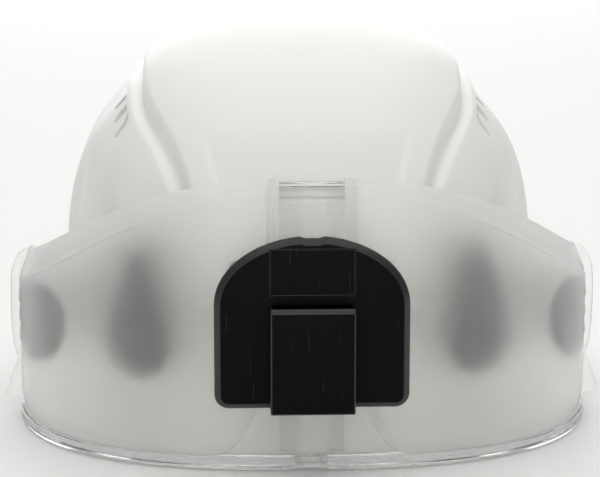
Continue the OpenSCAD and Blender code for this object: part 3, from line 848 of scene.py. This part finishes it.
class HAT_OT_shield(bpy.types.Operator):
    """Makes the frosted front shield with its sunk channel, rolled top edge and finger tabs"""

    bl_idname = "hat.shield"
    bl_label = "Shield"

    def execute(self, context):
        s = sizes()
        bpy.ops.object.select_all(action="DESELECT")
        bpy.ops.mesh.primitive_grid_add(x_subdivisions=150, y_subdivisions=64, size=2)
        shield = named("Shield")
        for f in shield.data.polygons:
            f.material_index = shield_finish(abs(f.center.x), (f.center.y + 1) / 2)
        # the carrier's hook lies in a notch at the top of the channel, over the fold's row of the grid
        edit(shield, lambda: bpy.ops.mesh.select_all(action="DESELECT"))
        for f in shield.data.polygons:
            f.select = abs(f.center.x) < 0.15 and (f.center.y + 1) / 2 > 0.68
        bpy.ops.object.mode_set(mode="EDIT")
        bpy.ops.mesh.delete(type="FACE")
        bpy.ops.object.mode_set(mode="OBJECT")
        co = points(shield)
        v = shield_row((co[:, 1] + 1) / 2)
        place(shield, shield_point(shield_column(co[:, 0], v), v))
        edit(shield, lambda: bpy.ops.mesh.normals_make_consistent(inside=False))
        middle = shield.data.polygons[len(shield.data.polygons) // 2]
        if middle.normal.y > 0:
            edit(shield, lambda: bpy.ops.mesh.flip_normals())
        modifier(shield, "SOLIDIFY", thickness=s.shield_wall, offset=-1)
        modifier(shield, "BEVEL", width=0.0008, segments=3, limit_method="ANGLE",
                 angle_limit=math.radians(62))
        tab = [(128.6, 7.6), (134.5, 7.6), (135.8, 7.9), (136.8, 8.6), (137.4, 9.8), (137.4, 11), (137, 12.3),
               (132.2, 25.0), (131.4, 25.5), (128.6, 25.5)]
        flange = [(128.6, 25), (131.2, 26.5), (132.5, 29), (133.5, 33), (134.2, 42), (134.4, 52), (134.2, 62),
                  (133.6, 68), (132.4, 72), (130.6, 75.2), (128, 77.6), (126, 78), (125.2, 77.6), (124.6, 76),
                  (128.6, 65)]
        tabs = []
        for side in (-1, 1):
            for outline in (tab, flange):
                ear = prism("ear", [(side * x / 1000, z / 1000) for x, z in outline], -0.0610, -0.0575)
                modifier(ear, "BEVEL", width=0.0007, segments=3, limit_method="ANGLE",
                         angle_limit=math.radians(50))
                tabs.append(ear)
        join(shield, *tabs)
        smooth(shield, 40)
        kinds = [f.material_index for f in shield.data.polygons]
        wear(shield, SHIELD, frosted_pc(), "frosted_polycarbonate", "shield")
        # the second slot is the painted highlight on the edges
        shield.data.materials.append(highlight_white_pc())
        # the third slot is the painted shade on the channel's wall
        shield.data.materials.append(shade_grey_pc())
        for f, kind in zip(shield.data.polygons, kinds):
            f.material_index = kind
        return {"FINISHED"}


class HAT_OT_shield_rim(bpy.types.Operator):
    """Makes the clear stepped edging under the shield, notched at the middle for the carrier's tongue"""

    bl_idname = "hat.shield_rim"
    bl_label = "Shield edging"

    def execute(self, context):
        s = sizes()
        outline = [(0.4, 1.0), (0.5, 1.3), (0.5, 2.2), (0.2, 2.5), (-0.8, 2.6), (-0.8, 4.0), (0.0, 4.15),
                   (0.25, 4.4),
                   (0.25, 5.6), (0.0, 5.9), (-4.2, 5.95), (-4.4, 5.7), (-4.4, 1.2), (-4.2, 1.0), (0.4, 1.0)]
        bpy.ops.object.select_all(action="DESELECT")
        bpy.ops.mesh.primitive_grid_add(x_subdivisions=180, y_subdivisions=len(outline) - 1, size=2)
        rim = named("ShieldEdging")
        co = points(rim)
        u, row = co[:, 0], np.rint((co[:, 1] + 1) / 2 * (len(outline) - 1)).astype(int)
        grow = np.array([o[0] for o in outline])[row] / 1000
        z = np.array([o[1] for o in outline])[row] / 1000
        a = np.abs(u)
        bend = math.pi / 2 + (math.radians(6.0) - math.pi / 2) * a
        x0 = s.shield_half_width * np.cos(bend) ** 0.8
        # columns beside the notch are pulled onto its two edges
        x0 = np.where(np.abs(x0 - 0.0080) < 0.0016, np.where(x0 < 0.0080, 0.0079, 0.0082), x0)
        q = x0 / s.shield_half_width
        w = (1 - q**PLAN_POWER) ** (1 / PLAN_POWER)
        grow = np.where((x0 < 0.0080) & (grow > -0.003), -0.0030, grow)
        place(rim, np.stack((np.sign(u) * q * (s.shield_half_width + grow),
                             s.shield_centre - (s.shield_depth + grow) * w + SHIFT, z), 1))
        edit(
            rim,
            lambda: bpy.ops.mesh.remove_doubles(threshold=0.00003),
            lambda: bpy.ops.mesh.select_all(action="DESELECT"),
            lambda: bpy.ops.mesh.select_non_manifold(extend=False),
            lambda: bpy.ops.mesh.fill(),
            lambda: bpy.ops.mesh.select_all(action="SELECT"),
            lambda: bpy.ops.mesh.normals_make_consistent(inside=False),
        )
        smooth(rim, 30)
        wear(rim, SHIELD, clear_pc(), "clear_polycarbonate", "shield_rim")
        return {"FINISHED"}


# ---------------------------------------------------------------- lamp bracket


class HAT_OT_lamp_strap(bpy.types.Operator):
    """Makes the clear ribbed carrier that lies in the channel and hooks over the shield"""

    bl_idname = "hat.lamp_strap"
    bl_label = "Lamp carrier"

    def execute(self, context):
        strap = eased("lamp_strap", "LampCarrier", 0.00025)
        wear(strap, SHIELD, clear_pc(), "clear_polycarbonate", "lamp_strap")
        return {"FINISHED"}


def plate_outline():
    """The plate's outline: straight sides, a low arch above and rounded corners below."""
    half, foot, spring, rise, corner = 0.041, 0.0286, 0.073, 0.0293, 0.006
    out = [(half * math.cos(math.pi * i / 48), spring + rise * math.sin(math.pi * i / 48)) for i in range(49)]
    for start, cx in ((math.pi, corner - half), (1.5 * math.pi, half - corner)):
        for i in range(9):
            a = start + math.pi / 2 * i / 8
            out.append((cx + corner * math.cos(a), foot + corner + corner * math.sin(a)))
    return out


class HAT_OT_lamp_plate(bpy.types.Operator):
    """Makes the black plate with its chamfered rim, embossed frame and rear studs"""

    bl_idname = "hat.lamp_plate"
    bl_label = "Lamp plate"

    def execute(self, context):
        front = -0.1562
        plate = prism("LampPlate", plate_outline(), -0.1524, front)
        only(plate)
        bpy.ops.object.mode_set(mode="EDIT")
        bpy.ops.mesh.select_all(action="DESELECT")
        bpy.ops.mesh.select_mode(type="EDGE")
        bpy.ops.object.mode_set(mode="OBJECT")
        at = points(plate)[:, 1] < front + SHIFT + 0.0001
        for e in plate.data.edges:
            e.select = bool(at[e.vertices[0]] and at[e.vertices[1]])
        bpy.ops.object.mode_set(mode="EDIT")
        bpy.ops.mesh.bevel(offset=0.0026, offset_type="OFFSET", segments=1, profile=0.5)
        bpy.ops.object.mode_set(mode="OBJECT")
        # the small dip in the top of the rim
        co = points(plate)
        dip = step((0.0052 - np.abs(co[:, 0])) / 0.002) * (co[:, 2] > 0.0985)
        co[:, 2] -= 0.0009 * dip
        place(plate, co)
        modifier(plate, "BEVEL", width=0.00045, segments=2, limit_method="ANGLE",
                 angle_limit=math.radians(25))
        extras = []
        # the embossed frame over the pocket
        for x1, x2, z1, z2 in ((-0.018, 0.018, 0.0968, 0.0976), (-0.018, 0.018, 0.0772, 0.0780),
                               (-0.018, -0.0172, 0.0776, 0.0972), (0.0172, 0.018, 0.0776, 0.0972)):
            extras.append(block("frame_bar", (x1, -0.1565, z1), (x2, -0.1555, z2), 0.00018, 2))
        for x in (-0.030, 0.030):
            for z in (0.044, 0.086):
                bpy.ops.object.select_all(action="DESELECT")
                bpy.ops.mesh.primitive_cylinder_add(vertices=24, radius=0.0021, depth=0.0090)
                stud = named("stud")
                co = points(stud)
                place(stud, np.stack((co[:, 0] + x, co[:, 2] - 0.1481 + SHIFT, co[:, 1] + z), 1))
                edit(stud, lambda: bpy.ops.mesh.normals_make_consistent(inside=False))
                modifier(stud, "BEVEL", width=0.0004, segments=2, limit_method="ANGLE")
                extras.append(stud)
        join(plate, *extras)
        smooth(plate, 32)
        wear(plate, SHIELD, black_plate(), "black_plate", "lamp_plate")
        # the chamfers that face partly forward get a lighter black as painted highlight
        second(plate, black_edge_highlight(), lambda n: -0.97 < n.y < -0.2)
        return {"FINISHED"}


class HAT_OT_lamp_pocket(bpy.types.Operator):
    """Makes the raised pocket that takes the lamp's blade"""

    bl_idname = "hat.lamp_pocket"
    bl_label = "Lamp pocket"

    def execute(self, context):
        pocket = eased("lamp_pocket", "LampPocket", 0.0007, 3)
        wear(pocket, SHIELD, black_plate(), "black_plate", "lamp_pocket")
        # the slanted faces get a lighter black as painted highlight
        second(pocket, black_edge_highlight(), slanted)
        return {"FINISHED"}


# ---------------------------------------------------------------- pivots, arms, painted shade pads, clip


class HAT_OT_pivots(bpy.types.Operator):
    """Makes the pivot blocks, caps and arms that carry the shield"""

    bl_idname = "hat.pivots"
    bl_label = "Pivots and arms"

    def execute(self, context):
        for node, name, body, width in (
            ("pivot_base_left", "PivotBlockLeft", HELMET, 0.0006),
            ("pivot_base_right", "PivotBlockRight", HELMET, 0.0006),
            ("pivot_caps", "PivotCaps", HELMET, 0.0009),
            ("shield_arm_left", "ShieldArmLeft", SHIELD, 0.0005),
            ("shield_arm_right", "ShieldArmRight", SHIELD, 0.0005),
        ):
            wear(eased(node, name, width), body, black_nylon(), "black_nylon", node)
        for node in ("pivot_washers", "pivot_screws", "pivot_nuts", "push_nuts"):
            paint(node, zinc_steel())
        paint("arm_rivets", rivet_aluminium())
        return {"FINISHED"}


class HAT_OT_shade_pads(bpy.types.Operator):
    """Makes the two black rubber pads behind the shield, which stand in as painted shade for the shade seen
    through it
    """

    bl_idname = "hat.buffers"
    bl_label = "Shade pads behind the shield"

    def execute(self, context):
        # black rubber pads put behind the shield as painted shade
        for node, name in (("brow_buffer_left", "ShadePadLeft"), ("brow_buffer_right", "ShadePadRight")):
            wear(eased(node, name, 0.0022, 3, 40), HELMET, black_rubber(), "black_rubber", node)
        return {"FINISHED"}


class HAT_OT_cord_clip(bpy.types.Operator):
    """Makes the lamp-cord clip on the back of the shell"""

    bl_idname = "hat.cord_clip"
    bl_label = "Cord clip"

    def execute(self, context):
        wear(eased("cord_clip", "CordClip", 0.0008, 3), HELMET, black_nylon(), "black_nylon", "cord_clip")
        paint("cord_clip_rivet", rivet_aluminium())
        return {"FINISHED"}


# ---------------------------------------------------------------- suspension


def ribbon(name, node_centre, angle, half, rise, shift, width):
    """A webbing arch in its own plane, as a strip with its own UV map."""
    bpy.ops.object.select_all(action="DESELECT")
    bpy.ops.mesh.primitive_grid_add(x_subdivisions=96, y_subdivisions=6, size=2)
    obj = named(name)
    co = points(obj)
    t = (1 - co[:, 0]) / 2 * math.pi
    s = shift + half * np.sign(np.cos(t)) * np.abs(np.cos(t)) ** 0.9
    z = 0.0397 + rise * np.sin(t) ** 0.9
    off = co[:, 1] * width / 2
    a = math.radians(angle)
    x = s * math.cos(a) - off * math.sin(a)
    y = s * math.sin(a) + off * math.cos(a) + node_centre + SHIFT
    place(obj, np.stack((x, y, z), 1))
    return obj


class HAT_OT_straps(bpy.types.Operator):
    """Makes the three crown straps of woven webbing"""

    bl_idname = "hat.straps"
    bl_label = "Crown straps"

    def execute(self, context):
        width = sizes().strap_width
        # webbing 19 mm wide with 24 warp cords, and a weft rib every 1.4 mm
        for node, name, angle, half, rise, shift in (
            ("strap_side", "StrapSide", 0, 0.101, 0.1063, 0.0),
            ("strap_diagonal_lower", "StrapDiagonalLower", 52, 0.1128, 0.1097, 0.01075),
            ("strap_diagonal_upper", "StrapDiagonalUpper", 128, 0.1128, 0.1119, 0.01075),
        ):
            strap = ribbon(name, FRONT_C + 0.004, angle, half - 0.0001, rise - 0.0001, shift, width - 0.0002)
            edit(strap, lambda: bpy.ops.mesh.normals_make_consistent(inside=False))
            if sum(f.normal.z for f in strap.data.polygons) < 0:
                edit(strap, lambda: bpy.ops.mesh.flip_normals())
            modifier(strap, "SOLIDIFY", thickness=0.0011, offset=-1)
            modifier(strap, "BEVEL", width=0.0003, segments=2, limit_method="ANGLE",
                     angle_limit=math.radians(60))
            smooth(strap, 50)
            wear(strap, HELMET, woven("polyester_webbing_black", colours().webbing, 12, 110),
                 "black_webbing", node)
        return {"FINISHED"}


class HAT_OT_headband(bpy.types.Operator):
    """Makes the headband, nape bands and hanger keys"""

    bl_idname = "hat.headband"
    bl_label = "Headband"

    def execute(self, context):
        wear(eased("headband", "Headband", 0.0003), HELMET, charcoal_pe(), "charcoal_plastic", "headband")
        wear(eased("hanger_keys", "HangerKeys", 0.0005), HELMET, white_acetal(), "white_plastic",
             "hanger_keys")
        for node in ("nape_band_left", "nape_band_right"):
            paint(node, charcoal_pe())
        return {"FINISHED"}


def cushion(name, columns, rows, put, seams):
    """A stuffed pad: two faces that meet in a welt, crowned between its sewn channels.
    put(u, v, h) gives the place of a point at height share h over the pad's back."""
    bpy.ops.object.select_all(action="DESELECT")
    bpy.ops.mesh.primitive_grid_add(x_subdivisions=columns, y_subdivisions=rows, size=2)
    obj = named(name)
    co = points(obj)
    u, v = co[:, 0], co[:, 1]
    edge = np.minimum(1 - np.abs(u) ** 24, 1) * np.minimum(1 - v**6, 1)
    puff = 0.22 + 0.78 * np.clip(edge, 0, 1) ** 0.5
    for s in seams:
        puff = puff * (1 - 0.42 * np.exp(-(((u - s) / 0.012) ** 2)))
    on_edge = (np.abs(u) > 0.999) | (np.abs(v) > 0.999)
    front = put(u, v, np.where(on_edge, 0.12, puff))
    place(obj, front)
    back = bpy.data.objects.new(name + "_back", obj.data.copy())
    bpy.context.scene.collection.objects.link(back)
    place(back, put(u, v, np.where(on_edge, 0.12, 0.0)))
    join(obj, back)
    edit(obj, lambda: bpy.ops.mesh.remove_doubles(threshold=0.00002),
         lambda: bpy.ops.mesh.normals_make_consistent(inside=False))
    smooth(obj, 60)
    return obj


class HAT_OT_pads(bpy.types.Operator):
    """Makes the brow pad, the nape pad and the crown pad"""

    bl_idname = "hat.pads"
    bl_label = "Pads"

    def execute(self, context):
        def arc(centre, outer, thick, start, end, low, high):
            def put(u, v, h):
                a = np.radians(start + (end - start) * (u + 1) / 2)
                r = outer - thick * h
                z = low + (high - low) * (v + 1) / 2
                return np.stack((r * np.cos(a), r * np.sin(a) + centre + SHIFT, z), 1)

            return put

        brow = cushion("BrowPad", 220, 22, arc(FRONT_C, 0.0820, 0.0047, 190, 350, 0.009, 0.037),
                       [-0.8, -0.6, -0.4, -0.2, 0, 0.2, 0.4, 0.6, 0.8])
        wear(brow, HELMET, knit_pad(), "foam_pad", "brow_pad")
        nape = cushion("NapePad", 80, 22, arc(REAR_C, 0.0824, 0.0047, 68, 112, 0.007, 0.035), [-0.34, 0.34])
        wear(nape, HELMET, knit_pad(), "foam_pad", "nape_pad")
        bpy.ops.object.select_all(action="DESELECT")
        bpy.ops.mesh.primitive_uv_sphere_add(segments=96, ring_count=36, radius=1)
        crown = named("CrownPad")
        co = points(crown)
        r = np.hypot(co[:, 0], co[:, 1])
        flat = np.sign(co[:, 2]) * np.abs(co[:, 2]) ** 0.75
        turn = np.arctan2(co[:, 1], co[:, 0])
        dip = 1 - 0.35 * np.exp(-((np.sin(3 * turn) * r / 0.09) ** 2)) * step((r - 0.15) / 0.2)
        z = 0.1400 - 0.0038 * r**2 + np.where(flat > 0, 0.0034 * flat, 0.0030 * flat * dip)
        place(crown, np.stack((0.0298 * co[:, 0], 0.0298 * co[:, 1] + FRONT_C + 0.004 + SHIFT, z), 1))
        smooth(crown, 60)
        wear(crown, HELMET, knit_pad(), "foam_pad", "crown_pad")
        return {"FINISHED"}


class HAT_OT_ratchet(bpy.types.Operator):
    """Makes the ratchet housing, its knob and pinion"""

    bl_idname = "hat.ratchet"
    bl_label = "Ratchet"

    def execute(self, context):
        wear(eased("ratchet_housing", "RatchetHousing", 0.0006), HELMET, charcoal_pe(), "charcoal_plastic",
             "ratchet_housing")
        wear(eased("ratchet_backplate", "RatchetBackplate", 0.0004), HELMET, charcoal_pe(),
             "charcoal_plastic", "ratchet_backplate")
        wear(eased("ratchet_knob", "RatchetKnob", 0.0007, 3), KNOB, black_nylon(), "black_nylon",
             "ratchet_knob")
        paint("ratchet_pinion", white_acetal())
        paint("knob_screw", zinc_steel())
        return {"FINISHED"}


# ---------------------------------------------------------------- stage


class HAT_OT_stage(bpy.types.Operator):
    """Sets the pale floor, the soft studio light and the camera"""

    bl_idname = "hat.stage"
    bl_label = "Stage"

    def execute(self, context):
        scene = context.scene
        scene.view_settings.view_transform = "Standard"
        # light goes back and forth between the shield and the shell many times
        scene.cycles.max_bounces = 24
        scene.cycles.diffuse_bounces = 10
        scene.cycles.transmission_bounces = 24
        scene.cycles.glossy_bounces = 8
        bpy.ops.object.select_all(action="DESELECT")
        bpy.ops.mesh.primitive_plane_add(size=6)
        floor = named("Floor")
        mat, tree = finish("pale_floor")
        if tree:
            at = add(tree, "ShaderNodeTexCoord").outputs["Object"]
            noise = add(tree, "ShaderNodeTexNoise", {"Vector": at, "Scale": 3.0})
            rough = add(tree, "ShaderNodeMapRange", {"Value": noise.outputs["Fac"], "To Min": 0.7,
                                                     "To Max": 0.8})
            close(tree, add(tree, "ShaderNodeBsdfPrincipled", {
                "Base Color": linear("F4F4F3"), "Roughness": rough.outputs["Result"]}))
        floor.data.materials.append(mat)
        world = scene.world or bpy.data.worlds.new("studio")
        scene.world = world
        world.use_nodes = True
        world.node_tree.nodes.clear()
        sky = world.node_tree
        way = add(sky, "ShaderNodeTexCoord").outputs["Generated"]
        over = add(sky, "ShaderNodeVectorMath", {0: way, 1: (0.0, 0.55, 0.83)}, operation="DOT_PRODUCT")
        glow = add(sky, "ShaderNodeMapRange", {"Value": over.outputs["Value"], "From Min": -0.5,
                                               "From Max": 0.7, "To Min": 0.54, "To Max": 0.80},
                   interpolation_type="SMOOTHSTEP")
        aside = add(sky, "ShaderNodeVectorMath", {0: way, 1: (1.0, 0.0, 0.0)}, operation="DOT_PRODUCT")
        size = add(sky, "ShaderNodeMath", {0: aside.outputs["Value"]}, operation="ABSOLUTE")
        dim = add(sky, "ShaderNodeMapRange", {"Value": size.outputs[0], "From Min": 0.35, "From Max": 0.95,
                                              "To Min": 1.0, "To Max": 0.3}, interpolation_type="SMOOTHSTEP")
        glow = add(sky, "ShaderNodeMath", {0: glow.outputs["Result"], 1: dim.outputs["Result"]},
                   operation="MULTIPLY")
        back = add(sky, "ShaderNodeBackground", {"Color": (1, 1, 1, 1), "Strength": glow.outputs[0]})
        add(sky, "ShaderNodeOutputWorld", {"Surface": back.outputs[0]})
        for name, at, size, power in (("TopSoftbox", (0.0, 0.35, 1.9), 2.6, 14.0),
                                      ("FrontSoftbox", (0.0, -1.9, 0.75), 1.3, 7.0),
                                      ("BackSoftbox", (0.0, 2.2, 1.0), 2.0, 10.0)):
            light = bpy.data.lights.new(name, "AREA")
            light.size = size
            light.energy = power
            lamp = bpy.data.objects.new(name, light)
            scene.collection.objects.link(lamp)
            lamp.location = at
            lamp.rotation_mode = "QUATERNION"
            lamp.rotation_quaternion = (Vector((0, 0, 0.08)) - Vector(at)).to_track_quat("-Z", "Y")
        lens = bpy.data.cameras.new("Camera")
        cam = bpy.data.objects.new("Camera", lens)
        scene.collection.objects.link(cam)
        lens.sensor_width = 36
        lens.lens = 126.4
        aim = Vector((0.0008, SHIFT, 0.0687))
        az, el, far = math.radians(-2.2), math.radians(12.0), 1.028
        back = Vector((math.sin(az) * math.cos(el), -math.cos(az) * math.cos(el), math.sin(el)))
        cam.location = aim + back * far
        cam.rotation_mode = "QUATERNION"
        cam.rotation_quaternion = (-back).to_track_quat("-Z", "Y")
        scene.camera = cam
        return {"FINISHED"}


class HAT_PT_panel(bpy.types.Panel):
    """Lists the hard hat's pieces in the sidebar"""

    bl_idname = "HAT_PT_panel"
    bl_label = "Hard Hat"
    bl_space_type = "VIEW_3D"
    bl_region_type = "UI"
    bl_category = "Hard Hat"

    def draw(self, context):
        for settings in (context.scene.hat_sizes, context.scene.hat_colours):
            box = self.layout.box()
            for key in settings.__annotations__:
                box.prop(settings, key)
        for op in STEPS:
            self.layout.operator(op.bl_idname)


STEPS = (HAT_OT_stage, HAT_OT_shell, HAT_OT_shield, HAT_OT_shield_rim, HAT_OT_lamp_strap, HAT_OT_lamp_plate,
         HAT_OT_lamp_pocket, HAT_OT_pivots, HAT_OT_shade_pads, HAT_OT_cord_clip, HAT_OT_headband, HAT_OT_straps,
         HAT_OT_pads, HAT_OT_ratchet)
CLASSES = (HatSizes, HatColours) + STEPS + (HAT_PT_panel,)


def register():
    for c in CLASSES:
        bpy.utils.register_class(c)
    bpy.types.Scene.hat_sizes = PointerProperty(type=HatSizes)
    bpy.types.Scene.hat_colours = PointerProperty(type=HatColours)


def unregister():
    del bpy.types.Scene.hat_sizes
    del bpy.types.Scene.hat_colours
    for c in reversed(CLASSES):
        bpy.utils.unregister_class(c)


def main():
    register()
    for op in STEPS:
        group, name = op.bl_idname.split(".")
        getattr(getattr(bpy.ops, group), name)()
    bpy.context.view_layer.update()


if __name__ == "__main__":
    main()
